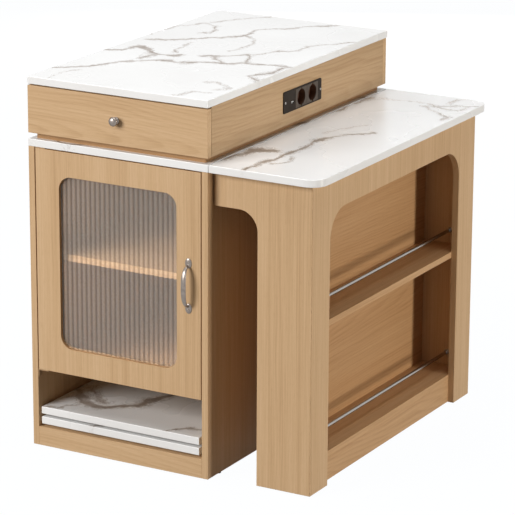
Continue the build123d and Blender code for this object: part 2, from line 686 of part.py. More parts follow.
def castor_wheel(x, y):
    tyre = fillet(Cylinder(WHEEL_R, WHEEL_W).edges().filter_by(GeomType.CIRCLE), 2.0)
    wheel = tyre - Cylinder(AXLE_R + 0.05, WHEEL_W + 2)
    for side in (-1, 1):
        recess = Cylinder(WHEEL_R - 5, 2.0) - Cylinder(5.0, 4.0)
        wheel -= Pos(0, 0, side * WHEEL_W / 2) * recess
    return Pos(x, y, WHEEL_R) * Rot(90, 0, 0) * wheel


def main():
    os.makedirs("parts", exist_ok=True)

    save("cabinet_side_left", side_panel((0, BOARD), INNER_X[0], False))
    save("cabinet_side_right", side_panel((CABINET_W - BOARD, CABINET_W), INNER_X[1], True))
    save("cabinet_floor", board(INNER_X, (BOARD, DEPTH - BOARD), (KICK_TOP - BOARD, KICK_TOP)))
    save("cabinet_kickboard", board(INNER_X, (0, BOARD), (GLIDE_H, KICK_TOP)))
    save("cabinet_divider", board(INNER_X, (BEHIND_DOOR, DEPTH - BOARD),
                                  (DIVIDER_BOTTOM, DIVIDER_BOTTOM + BOARD)))
    save("cabinet_back", cabinet_back())
    save("stretchers", stretchers())
    save("cabinet_shelf", board((INNER_X[0] + 1, INNER_X[1] - 1), (BEHIND_DOOR, DEPTH - BOARD - 2),
                                (SHELF_BOTTOM, SHELF_BOTTOM + BOARD)))
    save("shelf_pins", shelf_pins())
    save("cabinet_glides", cabinet_glides())
    save("worktop", slab((0, CABINET_W), (0, DEPTH), (CARCASS_TOP, WORKTOP_TOP)))
    save("door_pivot_plates", pivot_plates())
    save("door_catch", door_catch())

    save("box_plinth", block((PLINTH_INSET, CABINET_W - PLINTH_INSET),
                             (PLINTH_INSET, BOX_DEPTH - PLINTH_INSET), (WORKTOP_TOP, BOX_BOTTOM)))
    save("box_bottom", board(INNER_X, (BOARD + 1, BOX_DEPTH - BOARD), (BOX_BOTTOM, BOX_BOTTOM + BOARD)))
    save("box_side_left", box_side((0, BOARD), False))
    save("box_side_right", box_side((CABINET_W - BOARD, CABINET_W), True))
    save("box_back", box_back())
    save("box_top_slab", slab((0, CABINET_W), (0, DEPTH), (BOX_TOP, TOP_SLAB_TOP)))
    save("cable_fittings", group([cable_grommet(), cable_gland()]))

    save("power_strip_plate", strip_plate())
    save("power_strip_sockets", group([socket_body(y) for y in SOCKET_Y]))
    save("power_strip_earth_clips", group([clip for y in SOCKET_Y for clip in earth_clips(y)]))
    save("power_strip_usb_module", usb_module())
    save("power_strip_housing", strip_housing())
    save("power_strip_screws", strip_screws())

    save("drawer_front", drawer_front())
    save("drawer_walls", drawer_walls())
    save("drawer_bottom", drawer_bottom())
    save("drawer_knob", drawer_knob())
    save("drawer_knob_screw", knob_screw())
    save("drawer_slides_outer", both_sides(slide_outer))
    save("drawer_slides_middle", both_sides(slide_middle))
    save("drawer_slides_inner", both_sides(slide_inner))

    save("door_frame", door_frame())
    save("door_glass", door_glass())
    save("door_glass_retainer", glass_retainer())
    save("door_pivot_bushes", pivot_bushes())
    save("door_handle", door_handle())
    save("door_handle_screws", handle_screws())
    save("door_strike_plate", strike_plate())

    save("table_top", slab(TABLE_X, (0, DEPTH), (CARCASS_TOP, WORKTOP_TOP), TABLE_CORNER_R))
    save("table_front_panel", table_front_panel())
    save("table_back_panel", mirror_y(table_front_panel(), (FRONT_FACE + BACK_FACE) / 2))
    save("table_side_panel", table_side_panel())
    save("table_inner_panel", between_panels((LEG_X, LEG_X + BOARD), (TABLE_FOOT, CARCASS_TOP)))
    save("table_shelves", table_shelves())
    save("table_kickboard", between_panels((SIDE_INNER - BOARD, SIDE_INNER),
                                           (TABLE_FOOT, LOW_SHELF_TOP - BOARD)))
    save("guard_rods", group(guard_rods() + rod_sockets()))

    save("rail_fixed", group(rail_pair(0, (RAIL_X[0], FIXED_RAIL_END)) + rail_hangers()))
    save("rail_middle_1", group(rail_pair(1, RAIL_X)))
    save("rail_middle_2", group(rail_pair(2, RAIL_X)))
    save("rail_last", group(rail_pair(3, (LAST_RAIL_START, LAST_RAIL_END)) + rail_end_brackets()))

    for name, z in (("lower", LEAF_Z[0]), ("upper", LEAF_Z[1])):
        save(f"leaf_{name}", leaf_slab(z))
        save(f"leaf_{name}_pads", leaf_pads(z))

    save("castor_forks", castor_forks())
    for name, x in zip(("inner", "outer"), WHEEL_X):
        save(f"castor_wheels_{name}", group([castor_wheel(x, y) for y in WHEEL_Y]))


main()
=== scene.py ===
import math

import bmesh
import bpy
import numpy as np
from mathutils import Matrix, Vector
from mathutils import noise as field


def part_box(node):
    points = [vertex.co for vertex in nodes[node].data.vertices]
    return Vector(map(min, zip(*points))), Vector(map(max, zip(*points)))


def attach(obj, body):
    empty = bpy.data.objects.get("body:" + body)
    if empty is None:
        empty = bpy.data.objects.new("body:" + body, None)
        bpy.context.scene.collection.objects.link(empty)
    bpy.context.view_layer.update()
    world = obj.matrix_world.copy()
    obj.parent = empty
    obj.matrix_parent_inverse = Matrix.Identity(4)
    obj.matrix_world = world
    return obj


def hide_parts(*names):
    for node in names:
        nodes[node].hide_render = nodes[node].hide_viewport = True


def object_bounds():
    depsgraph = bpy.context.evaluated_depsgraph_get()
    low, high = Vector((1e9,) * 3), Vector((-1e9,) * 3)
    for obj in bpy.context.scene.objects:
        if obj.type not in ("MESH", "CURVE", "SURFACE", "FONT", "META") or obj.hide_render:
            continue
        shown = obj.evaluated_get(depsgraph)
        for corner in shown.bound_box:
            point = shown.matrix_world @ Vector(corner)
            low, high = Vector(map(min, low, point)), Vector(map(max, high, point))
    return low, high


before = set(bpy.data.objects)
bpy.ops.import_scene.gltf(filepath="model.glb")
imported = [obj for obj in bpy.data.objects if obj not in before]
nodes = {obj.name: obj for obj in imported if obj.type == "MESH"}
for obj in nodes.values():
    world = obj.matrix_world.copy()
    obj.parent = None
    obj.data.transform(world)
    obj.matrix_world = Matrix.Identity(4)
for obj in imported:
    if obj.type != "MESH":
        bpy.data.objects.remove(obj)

# Looks of an extendable island cabinet: oak veneer, white stone with taupe veins, reeded glass,
# pewter fittings. All lengths are metres in the frame's axes; MM turns millimetres into metres.
MM = 0.001
cad_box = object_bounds()
CENTRE = (cad_box[0] + cad_box[1]) / 2
scene = bpy.context.scene


# ---- camera ----
YAW, PITCH, ROLL = 29.53, 16.49, 0.28       # degrees: round to the right, down, anticlockwise
DISTANCE = 6.914
LENS, SENSOR = 202.0, 36.0                  # millimetres
FAR_CLIP = 100.0
AIM = CENTRE + Vector((-0.005, -0.012, -0.033))


def make_camera():
    """A long lens from above and from the front right."""
    yaw, pitch, roll = (math.radians(angle) for angle in (YAW, PITCH, ROLL))
    forward = Vector((-math.sin(yaw) * math.cos(pitch), math.cos(yaw) * math.cos(pitch), -math.sin(pitch)))
    level = Vector((math.cos(yaw), math.sin(yaw), 0))
    upright = level.cross(forward)
    right = level * math.cos(roll) + upright * math.sin(roll)
    up = upright * math.cos(roll) - level * math.sin(roll)
    camera = bpy.data.objects.new("camera", bpy.data.cameras.new("camera"))
    camera.data.lens = LENS
    camera.data.sensor_width = SENSOR
    camera.data.clip_end = FAR_CLIP
    place = Matrix((right, up, -forward)).transposed().to_4x4()
    place.translation = AIM - forward * DISTANCE
    camera.matrix_world = place
    scene.collection.objects.link(camera)
    scene.camera = camera


# ---- node trees ----
class Shader:
    """A Principled material, with short calls for the nodes that drive it."""

    def __init__(self, name, sockets):
        self.material = bpy.data.materials.new(name)
        self.material.use_nodes = True
        self.tree = self.material.node_tree
        self.surface = self.tree.nodes["Principled BSDF"]
        for socket, value in sockets.items():
            self.surface.inputs[socket].default_value = value

    def node(self, kind, inputs, **settings):
        made = self.tree.nodes.new("ShaderNode" + kind)
        for key, value in settings.items():
            setattr(made, key, value)
        for key, value in inputs.items():
            if isinstance(value, bpy.types.NodeSocket):
                self.tree.links.new(value, made.inputs[key])
            else:
                made.inputs[key].default_value = value
        return made

    def place(self):
        """Position in the frame's axes, in metres. It rides with the piece."""
        return self.node("TexCoord", {}).outputs["Object"]

    def math(self, operation, a, b=0.0, c=0.0, clamp=False):
        return self.node("Math", {0: a, 1: b, 2: c}, operation=operation, use_clamp=clamp).outputs[0]

    def scaled(self, vector, scale, offset=(0, 0, 0)):
        made = self.node("Mapping", {"Vector": vector, "Scale": scale, "Location": offset})
        return made.outputs[0]

    def noise(self, vector, scale, detail=2.0, roughness=0.5, distortion=0.0):
        inputs = {"Vector": vector, "Scale": scale, "Detail": detail, "Roughness": roughness,
                  "Distortion": distortion}
        return self.node("TexNoise", inputs).outputs["Fac"]

    def smooth(self, value, low, high, to_low=0.0, to_high=1.0):
        inputs = {"Value": value, "From Min": low, "From Max": high, "To Min": to_low, "To Max": to_high}
        return self.node("MapRange", inputs, interpolation_type="SMOOTHSTEP").outputs[0]

    def spread(self, value, low, high, clamp=False):
        """A linear map of 0..1 to low..high."""
        return self.math("MULTIPLY_ADD", value, high - low, low, clamp)

    def ramp(self, factor, stops):
        made = self.node("ValToRGB", {"Fac": factor})
        bands = made.color_ramp.elements
        while len(bands) < len(stops):
            bands.new(0.5)
        for band, (position, colour) in zip(bands, stops):
            band.position = position
            band.color = (*colour, 1)
        return made.outputs[0]

    def mix(self, factor, a, b, blend="MIX"):
        made = self.node("Mix", {0: factor}, data_type="RGBA", blend_type=blend)
        for key, value in ((6, a), (7, b)):
            if isinstance(value, bpy.types.NodeSocket):
                self.tree.links.new(value, made.inputs[key])
            else:
                made.inputs[key].default_value = (*value, 1)
        return made.outputs[2]

    def drive(self, socket, value):
        self.tree.links.new(value, self.surface.inputs[socket])

    def bump(self, height, strength, distance):
        made = self.node("Bump", {"Height": height, "Strength": strength, "Distance": distance})
        self.drive("Normal", made.outputs[0])

    def blend_in(self, other, share):
        """Gives a share of the surface to another shader."""
        both = self.node("MixShader", {0: share, 1: self.surface.outputs[0], 2: other.outputs[0]})
        self.tree.links.new(both.outputs[0], self.tree.nodes["Material Output"].inputs["Surface"])


# ---- floor and light ----
FLOOR_HALF = 14.0
FLOOR_TONES = ((0.14, 0.122, 0.10), (0.16, 0.14, 0.115))
FLOOR_WHITE, FLOOR_STRENGTH = (0.99, 1.0, 1.01), 1.14
FLOOR_GLOW = 0.86                                       # the share of that white in what is seen
WALL_WHITE, WALL_STRENGTH = (1.0, 1.01, 1.02), 0.98     # the studio, as it is seen and mirrored
SKY_TONE, SKY_STRENGTH = (1.0, 0.92, 0.82), 0.10        # and as it lights matt surfaces
# Each lamp: name, place, width and height, power in watts, colour.
LAMPS = (
    ("left_front", (-4.1, -7.6, 3.8), (4.3, 4.3), 790, (1.0, 0.99, 0.98)),
    ("right", (4.2, -0.1, 0.42), (0.5, 1.5), 118, (1.0, 0.965, 0.915)),
    ("top", (0.2, -0.2, 4.4), (2.8, 2.8), 106, (0.98, 0.99, 1.0)),
    ("behind", (-2.2, 4.4, 0.5), (1.6, 0.8), 80, (0.99, 0.99, 1.0)),
)


def make_floor():
    """A wide pale floor that stays white to the horizon and shows a faint shadow."""
    mesh = bpy.data.meshes.new("floor")
    corners = [(x * FLOOR_HALF, y * FLOOR_HALF, 0) for x, y in ((-1, -1), (1, -1), (1, 1), (-1, 1))]
    mesh.from_pydata(corners, [], [(0, 1, 2, 3)])
    floor = bpy.data.objects.new("floor", mesh)
    scene.collection.objects.link(floor)
    look = Shader("floor", {"Roughness": 0.9, "Specular IOR Level": 0.1})
    cloud = look.noise(look.place(), 0.6, 2.0)
    look.drive("Base Color", look.ramp(cloud, [(0.3, FLOOR_TONES[0]), (0.7, FLOOR_TONES[1])]))
    glow = look.node("Emission", {"Color": (*FLOOR_WHITE, 1), "Strength": FLOOR_STRENGTH})
    rays = look.node("LightPath", {})
    mirrored = look.math("MAXIMUM", rays.outputs["Is Camera Ray"], rays.outputs["Is Glossy Ray"])
    share = look.math("MULTIPLY", mirrored, FLOOR_GLOW)
    look.blend_in(glow, share)
    mesh.materials.append(look.material)


def make_lamp(name, place, size, power, colour):
    """A soft box that faces the object; its size is its width and its height."""
    lamp = bpy.data.objects.new(name, bpy.data.lights.new(name, "AREA"))
    lamp.data.shape = "RECTANGLE"
    lamp.data.size, lamp.data.size_y = size
    lamp.data.energy = power
    lamp.data.color = colour
    lamp.visible_camera = False
    lamp.location = place
    lamp.rotation_euler = (Vector(place) - CENTRE).to_track_quat("Z", "Y").to_euler()
    scene.collection.objects.link(lamp)


def make_studio():
    """A dim warm sky for matt surfaces, white walls to see and to mirror, and the lamps."""
    scene.view_settings.view_transform = "Standard"
    world = bpy.data.worlds.new("studio")
    world.use_nodes = True
    tree = world.node_tree
    sky = tree.nodes["Background"]
    sky.inputs["Color"].default_value = (*SKY_TONE, 1)
    sky.inputs["Strength"].default_value = SKY_STRENGTH
    walls = tree.nodes.new("ShaderNodeBackground")
    walls.inputs["Color"].default_value = (*WALL_WHITE, 1)
    walls.inputs["Strength"].default_value = WALL_STRENGTH
    rays = tree.nodes.new("ShaderNodeLightPath")
    seen = tree.nodes.new("ShaderNodeMath")
    seen.operation = "MAXIMUM"
    tree.links.new(rays.outputs["Is Glossy Ray"], seen.inputs[0])
    tree.links.new(rays.outputs["Is Camera Ray"], seen.inputs[1])
    both = tree.nodes.new("ShaderNodeMixShader")
    tree.links.new(seen.outputs[0], both.inputs[0])
    tree.links.new(sky.outputs[0], both.inputs[1])
    tree.links.new(walls.outputs[0], both.inputs[2])
    tree.links.new(both.outputs[0], tree.nodes["World Output"].inputs[0])
    scene.world = world
    for lamp in LAMPS:
        make_lamp(*lamp)


# ---- wood ----
OAK_DARK = (0.40, 0.235, 0.108)
OAK_MID = (0.585, 0.388, 0.214)
OAK_LIGHT = (0.70, 0.498, 0.306)
RING = 6.5 * MM                 # from one year ring to the next
EDGE_START, EDGE_FULL = 0.6 * MM, 1.2 * MM      # the painted shade on a cut edge begins this deep in the board
AXES = {"X": 0, "Y": 1, "Z": 2}
NO_TINT = (1, 1, 1)


def year_rings(look, along, side, depth, here, flat):
    """How near each point is to a ring's dark late wood, 0 to 1. The log's pith wanders slowly along
    the grain; it is close under a flat cut board and far from a rift cut one."""
    wander = look.noise(look.scaled(here, (1.3, 3.0, 3.0)), 1.0, 3.0, 0.55)
    pith_side, pith_depth = (0.05, 0.075) if flat else (0.55, 0.22)
    swing = 0.075 if flat else 0.035
    moved = look.math("MULTIPLY_ADD", wander, swing, pith_side - swing / 2)
    u = look.math("ADD", side, moved)
    taper = look.math("MULTIPLY_ADD", along, 0.06 if flat else 0.01, pith_depth)
    w = look.math("ADD", depth, taper)
    radius = look.math("SQRT", look.math("ADD", look.math("MULTIPLY", u, u), look.math("MULTIPLY", w, w)))
    uneven = look.noise(look.scaled(here, (0.6, 14.0, 14.0)), 1.0, 2.0)
    phase = look.math("MULTIPLY_ADD", uneven, 6.0, look.math("DIVIDE", radius, RING))
    ring = look.math("FRACT", phase)
    return look.math("MULTIPLY", look.smooth(ring, 0.25, 0.88), look.smooth(ring, 0.88, 1.0, 1.0, 0.0))


def oak(board, grain, face, cut, tint=NO_TINT, edge=None):
    """Oak veneer cut from a round log. The grain runs along one axis and the broad face looks along
    another. A rift cut gives straight lines; a flat cut gives arches about the board's middle. The
    tint multiplies the whole board; the shade tints are painted shade. The edge is painted shade on
    the cut edges between the two broad faces."""
    look = Shader("oak_" + board, {"IOR": 1.45, "Specular IOR Level": 0.3})
    low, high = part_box(board)
    middle = (low + high) / 2
    seed = sum(map(ord, board)) % 97
    across = ({"X", "Y", "Z"} - {grain, face}).pop()
    parts = look.node("SeparateXYZ", {"Vector": look.place()}).outputs
    along = look.math("SUBTRACT", parts[AXES[grain]], middle[AXES[grain]])
    side = look.math("SUBTRACT", parts[AXES[across]], middle[AXES[across]])
    depth = look.math("SUBTRACT", parts[AXES[face]], middle[AXES[face]])
    ordered = look.node("CombineXYZ", {0: along, 1: side, 2: depth}).outputs[0]
    here = look.scaled(ordered, (1, 1, 1), (seed * 0.37, seed * 0.11, seed * 0.23))
    flat = cut == "flat"
    late = year_rings(look, along, side, depth, here, flat)
    bands = look.noise(look.scaled(here, (1.1, 55.0, 55.0)), 1.0, 3.0, 0.6)
    streaks = look.noise(look.scaled(here, (2.6, 210.0, 210.0)), 1.0, 4.0, 0.65)
    fibres = look.noise(look.scaled(here, (9.0, 900.0, 900.0)), 1.0, 2.0, 0.5)
    broad = look.noise(look.scaled(here, (0.9, 7.0, 7.0)), 1.0, 2.0)
    pores = look.smooth(look.noise(look.scaled(here, (45.0, 1500.0, 1500.0)), 1.0, 1.0), 0.60, 0.68)

    ring_depth = look.spread(broad, -0.24, -0.04) if flat else look.spread(broad, -0.16, 0.0)

    tone = look.math("MULTIPLY_ADD", late, ring_depth, 0.56)
    tone = look.math("ADD", tone, look.spread(bands, -0.24, 0.24))
    tone = look.math("ADD", tone, look.spread(streaks, -0.32, 0.32))
    tone = look.math("ADD", tone, look.spread(fibres, -0.18, 0.18))
    tone = look.math("ADD", tone, look.spread(broad, -0.16, 0.16))
    colour = look.ramp(tone, [(0.0, OAK_DARK), (0.5, OAK_MID), (1.0, OAK_LIGHT)])
    colour = look.mix(look.math("MULTIPLY", pores, 0.30), colour, OAK_DARK)
    # the tint: painted shade on the boards given a shade tint
    if tint != NO_TINT:
        colour = look.mix(1.0, colour, tint, "MULTIPLY")
    # painted shade on the cut edges, between the two broad faces
    if edge:
        spot, first, last = parts[AXES[face]], low[AXES[face]], high[AXES[face]]
        inner = look.math("MULTIPLY", look.smooth(spot, first + EDGE_START, first + EDGE_FULL),
                          look.smooth(spot, last - EDGE_FULL, last - EDGE_START, 1.0, 0.0))
        colour = look.mix(inner, colour, look.mix(1.0, colour, edge, "MULTIPLY"))
    look.drive("Base Color", colour)
    look.drive("Roughness", look.spread(streaks, 0.66, 0.52))
    height = look.math("MULTIPLY_ADD", pores, -0.7, look.math("MULTIPLY", fibres, 0.5))
    look.bump(look.math("MULTIPLY_ADD", late, -0.25, height), 0.35, 0.12 * MM)
    return look.material


INNER_SHADE_TINT = (0.84, 0.72, 0.59)     # painted shade on the table's inner panel, in under the arch
# painted shade on the table's shelves and kickboard, low down in the table
LOW_SHADE_TINT = (0.94, 0.86, 0.78)
# painted shade on the plinth under the drawer front's overhang
PLINTH_SHADE_TINT = (0.72, 0.62, 0.52)
# painted shade on the box's right side
BOX_SIDE_SHADE_TINT = (0.83, 0.83, 0.83)
SHELF_TINT = (0.87, 0.93, 1.0)
# painted shade on the door frame's cut edges and on the reveal round the glass
EDGE_SHADE_TINT = (0.70, 0.56, 0.42)
# node: grain axis, axis the broad face looks along, cut, tint (the shade tints are painted shade), painted
# shade of the cut edges
BOARDS = {
    "cabinet_side_left": ("Z", "X", "rift"), "cabinet_side_right": ("Z", "X", "rift"),
    "cabinet_floor": ("X", "Z", "rift"), "cabinet_kickboard": ("X", "Y", "flat"),
    "cabinet_divider": ("X", "Z", "rift"), "cabinet_back": ("Z", "Y", "flat"),
    "stretchers": ("X", "Z", "rift"), "cabinet_shelf": ("X", "Z", "flat", SHELF_TINT),
    "box_plinth": ("X", "Y", "rift", PLINTH_SHADE_TINT), "box_bottom": ("X", "Z", "rift"),
    "box_side_left": ("Y", "X", "flat"), "box_side_right": ("Y", "X", "flat", BOX_SIDE_SHADE_TINT),
    "box_back": ("X", "Y", "flat"), "drawer_front": ("X", "Y", "flat"),
    "drawer_walls": ("Y", "X", "rift"), "drawer_bottom": ("X", "Z", "flat"),
    "door_frame": ("Z", "Y", "rift", NO_TINT, EDGE_SHADE_TINT), "table_front_panel": ("Z", "Y", "rift"),
    "table_back_panel": ("Z", "Y", "rift"), "table_side_panel": ("Z", "X", "rift"),
    "table_inner_panel": ("Y", "X", "flat", INNER_SHADE_TINT), "table_shelves": ("Y", "Z", "rift", LOW_SHADE_TINT),
    "table_kickboard": ("Y", "X", "flat", LOW_SHADE_TINT),
}


# ---- stone ----
STONE_WHITE = (0.87, 0.87, 0.865)
STONE_CLOUD = (0.80, 0.795, 0.785)
VEIN_HALO = (0.62, 0.57, 0.52)
VEIN_CORE = (0.27, 0.215, 0.175)
GRID = 12 * MM
FINER = 3               # how often the grid is halved beside a vein
FINER_FROM = 0.015      # on faces where the vein is at least this strong
SIDE_VEINS = 0.15       # the veins' strength on the slab's sides, where they are faint
VEIN_SEED = 2           # the veins' shake is the same on every run
# The shakes that bend the veins: level of the noise, waves per metre, reach in metres.
SHAKES = ((0, 17, 0.016), (3, 55, 0.006), (7, 140, 0.0025))
# Each vein: half width and strength, then its path over the slab, in millimetres from the slab's
# front left corner.
TOP_VEINS = [
    (4, 0.6, [(45, 5), (50, 65), (65, 115)]),
    (8, 1.0, [(0, 110), (60, 155), (100, 225), (155, 280), (220, 305), (335, 350), (380, 385)]),
    (8, 1.0, [(0, 320), (40, 340), (50, 400), (80, 385), (120, 350), (175, 340), (185, 370)]),
    (10, 0.8, [(130, 285), (125, 335), (150, 350)]),
    (5, 0.8, [(165, 385), (155, 425), (138, 490)]),
    (7, 0.9, [(25, 480), (95, 515), (130, 555), (180, 585), (205, 640), (205, 705), (265, 770), (350, 860)]),
    (5, 0.8, [(15, 535), (0, 585), (5, 650), (50, 715), (95, 685), (125, 610), (100, 600)]),
    (6, 0.8, [(65, 735), (95, 800), (155, 865)]),
    (6, 0.8, [(200, 645), (245, 610), (270, 560), (270, 490), (260, 460)]),
    (6, 0.8, [(285, 420), (340, 455), (350, 490), (400, 560), (420, 625), (475, 700)]),
    (7, 0.9, [(240, 385), (280, 410), (325, 455), (375, 375), (435, 390), (475, 380), (445, 260),
              (480, 220)]),
    (8, 0.8, [(280, 335), (310, 350), (265, 395)]),
    (5, 0.8, [(395, 5), (410, 55), (445, 65)]),
    (6, 0.7, [(445, 105), (460, 125), (390, 165)]),
]
TABLE_VEINS = [
    (16, 1.0, [(0, 75), (8, 125), (23, 165), (58, 185)]),
    (8, 1.0, [(88, 0), (98, 65), (93, 150), (108, 210), (108, 350), (138, 405), (183, 450)]),
    (6, 0.8, [(118, 90), (133, 120), (128, 155)]),
    (5, 0.5, [(73, 395), (98, 455), (128, 500)]),
    (6, 0.9, [(163, 760), (198, 725), (263, 675), (263, 645)]),
    (6, 0.9, [(163, 760), (218, 790), (275, 805)]),
    (5, 0.8, [(163, 780), (248, 740), (253, 795)]),
    (5, 0.8, [(203, 800), (203, 850), (230, 870)]),
    (5, 0.7, [(48, 785), (113, 775), (148, 780)]),
    (7, 0.9, [(0, 700), (12, 740), (22, 765)]),
    (7, 0.9, [(0, 560), (4, 625), (0, 670)]),
]
UPPER_LEAF_VEINS = [
    (20, 1.0, [(10, 150), (28, 118), (75, 75), (110, 70), (150, 85), (185, 115), (195, 160), (235, 250)]),
    (7, 0.8, [(0, 0), (35, 10), (45, 30), (70, 48)]),
    (14, 0.8, [(33, 165), (80, 118), (120, 105)]),
    (6, 0.9, [(348, 0), (380, 40), (432, 50)]),
    (7, 0.9, [(235, 250), (260, 400), (330, 520), (345, 660), (432, 760)]),
    (5, 0.7, [(0, 420), (90, 520), (110, 640), (60, 780), (80, 848)]),
    (5, 0.6, [(330, 520), (250, 600), (110, 640)]),
]
LOWER_LEAF_VEINS = [
    (9, 1.0, [(140, 0), (175, 40), (260, 60), (310, 130), (432, 190)]),
    (7, 0.9, [(0, 300), (110, 370), (150, 480), (280, 560), (300, 700), (400, 848)]),
    (5, 0.7, [(310, 130), (290, 260), (150, 480)]),
    (5, 0.7, [(0, 640), (90, 700), (130, 848)]),
]
WORKTOP_VEINS = [
    (8, 1.0, [(0, 60), (90, 8), (150, 14), (240, 90), (260, 240), (400, 330), (480, 470)]),
    (7, 0.9, [(440, 60), (430, 200), (400, 330)]),
    (7, 0.9, [(100, 870), (180, 760), (330, 700), (480, 760)]),
    (5, 0.7, [(0, 500), (140, 560), (180, 760)]),
]


def stone(slab):
    """Polished white stone. The mesh's own "vein" attribute says how near a vein runs."""
    look = Shader("stone_" + slab, {"IOR": 1.5})
    here = look.scaled(look.place(), (1, 1, 1), (len(slab) * 0.61, len(slab) * 0.27, 0))
    near = look.node("Attribute", {}, attribute_name="vein").outputs["Fac"]
    broken = look.noise(here, 18.0, 3.0, 0.55, 0.4)
    ragged = look.noise(here, 150.0, 4.0, 0.7)
    feather = look.noise(here, 60.0, 5.0, 0.7, 0.6)
    core_level = look.math("MULTIPLY", near, look.spread(ragged, 0.35, 1.65))
    halo_level = look.math("MULTIPLY", near, look.spread(feather, -0.3, 2.3))
    halo = look.math("MULTIPLY", look.smooth(halo_level, 0.10, 0.90), look.spread(broken, 0.25, 1.25))
    strong = look.spread(broken, -0.1, 1.9, clamp=True)
    core = look.math("MULTIPLY", look.smooth(core_level, 0.55, 0.90), strong)
    line = look.math("ABSOLUTE", look.math("SUBTRACT", feather, 0.5))
    threads = look.math("MULTIPLY", look.smooth(line, 0.0, 0.035, 1.0, 0.0), look.smooth(near, 0.02, 0.28))
    cloud = look.noise(here, 3.2, 3.0, 0.5)
    colour = look.ramp(cloud, [(0.35, STONE_WHITE), (0.75, STONE_CLOUD)])
    colour = look.mix(look.math("MULTIPLY", halo, 0.72, clamp=True), colour, VEIN_HALO)
    colour = look.mix(look.math("MULTIPLY", threads, 0.70, clamp=True), colour, VEIN_CORE)
    colour = look.mix(look.math("MULTIPLY", core, 0.92, clamp=True), colour, VEIN_CORE)
    look.drive("Base Color", colour)
    look.drive("Roughness", look.math("MULTIPLY_ADD", core, 0.10, look.spread(cloud, 0.22, 0.32)))
    look.bump(core, 0.05, -0.02 * MM)
    return look.material


def as_object(name, body, look):
    """An object of one material from a finished bmesh, which is freed."""
    mesh = bpy.data.meshes.new(name)
    body.to_mesh(mesh)
    body.free()
    mesh.materials.append(look)
    return bpy.data.objects.new(name, mesh)


def link(piece, body, replaced):
    """Puts a finished piece on its body, in place of the CAD node it stands for."""
    scene.collection.objects.link(piece)
    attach(piece, body)
    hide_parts(replaced)


def nearness(points, veins):
    """How strongly the veins mark each point: 1 on a strong vein's line, fading over its width."""
    moved = np.empty((len(points), 2))
    swell = np.empty(len(points))
    for i, (x, y) in enumerate(points):
        shake = Vector()
        for layer, waves, reach in SHAKES:
            shake += field.noise_vector(Vector((x, y, layer)) * waves) * reach
        moved[i] = (x + shake.x, y + shake.y)
        swell[i] = 0.55 + 1.1 * abs(field.noise(Vector((x, y, 5)) * 14))
    level = np.zeros(len(points))
    for half, strength, path in veins:
        away = np.full(len(points), 1e9)
        for start, end in zip(path, path[1:]):
            run = np.subtract(end, start) * MM
            offset = moved - np.multiply(start, MM)
            share = np.clip(offset @ run / (run @ run), 0, 1)
            away = np.minimum(away, np.linalg.norm(offset - share[:, None] * run, axis=1))
        level = np.maximum(level, strength * np.exp(-(away / (half * MM * swell)) ** 2 * 0.5))
    return level


def mark_veins(body, corner, veins, level):
    """Adds to level, for each vertex that isn't in it, how near the veins run."""
    fresh = [vert for vert in body.verts if vert not in level]
    if fresh:
        values = nearness([tuple(vert.co.to_2d() - corner) for vert in fresh], veins)
        level.update(zip(fresh, values))


def cut_grid(body, low, high):
    """Cuts the slab by upright planes, GRID apart both ways."""
    for start, stop, normal in ((low.x, high.x, Vector((1, 0, 0))), (low.y, high.y, Vector((0, 1, 0)))):
        for step in range(1, int((stop - start) / GRID)):
            spot = normal * (start + step * GRID)
            everything = body.verts[:] + body.edges[:] + body.faces[:]
            bmesh.ops.bisect_plane(body, geom=everything, plane_co=spot, plane_no=normal, dist=1e-7)


def refine(body, corner, veins):
    """Halves the grid on top beside the veins, a few times, and gives each vertex's vein strength."""
    level = {}
    for _ in range(FINER):
        mark_veins(body, corner, veins, level)
        marked = [face for face in body.faces if face.normal.z > 0.99 and len(face.verts) <= 8
                  and max(level[vert] for vert in face.verts) > FINER_FROM]
        edges = {edge for face in marked for edge in face.edges}
        bmesh.ops.subdivide_edges(body, edges=list(edges), cuts=1, use_grid_fill=True)
    mark_veins(body, corner, veins, level)
    return level


def make_slab(node, veins):
    """The slab's own shape, cut by a grid that is finer beside the veins, which its corners carry."""
    low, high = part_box(node)
    body = bmesh.new()
    body.from_mesh(nodes[node].data)
    bmesh.ops.remove_doubles(body, verts=body.verts, dist=1e-6)
    cut_grid(body, low, high)
    level = refine(body, low.to_2d(), veins)
    bmesh.ops.triangulate(body, faces=[face for face in body.faces if len(face.verts) > 4])
    marks = body.loops.layers.float.new("vein")
    for face in body.faces:
        face.smooth = True
        share = 1.0 if abs(face.normal.z) > 0.6 else SIDE_VEINS
        for loop in face.loops:
            loop[marks] = level[loop.vert] * share
    for edge in body.edges:
        edge.smooth = len(edge.link_faces) == 2 and edge.calc_face_angle(0) < math.radians(35)
    slab = as_object(node + "_stone", body, stone(node))
    weights = slab.modifiers.new("flat faces stay flat", "WEIGHTED_NORMAL")
    weights.keep_sharp = True
    return slab


SLABS = {
    "worktop": ("cabinet", WORKTOP_VEINS), "box_top_slab": ("cabinet", TOP_VEINS),
    "table_top": ("table", TABLE_VEINS), "leaf_upper": ("upper_leaf", UPPER_LEAF_VEINS),
    "leaf_lower": ("lower_leaf", LOWER_LEAF_VEINS),
}


# ---- glass ----
REED_PITCH = 13 * MM
REED_H = 1.6 * MM
REED_STEPS = 10
GLASS_CORNER = 41.5 * MM
# painted shade in each groove and painted highlight on each crest, across the reeds
GLASS_GROOVE_SHADE = (0.58, 0.505, 0.435)
GLASS_CREST_HIGHLIGHT = (0.88, 0.79, 0.695)
GLASS_CLOUD = (0.66, 0.59, 0.52)
GLASS_SHADOW = (0.94, 0.93, 0.92)       # what the glass lets through to light the cupboard


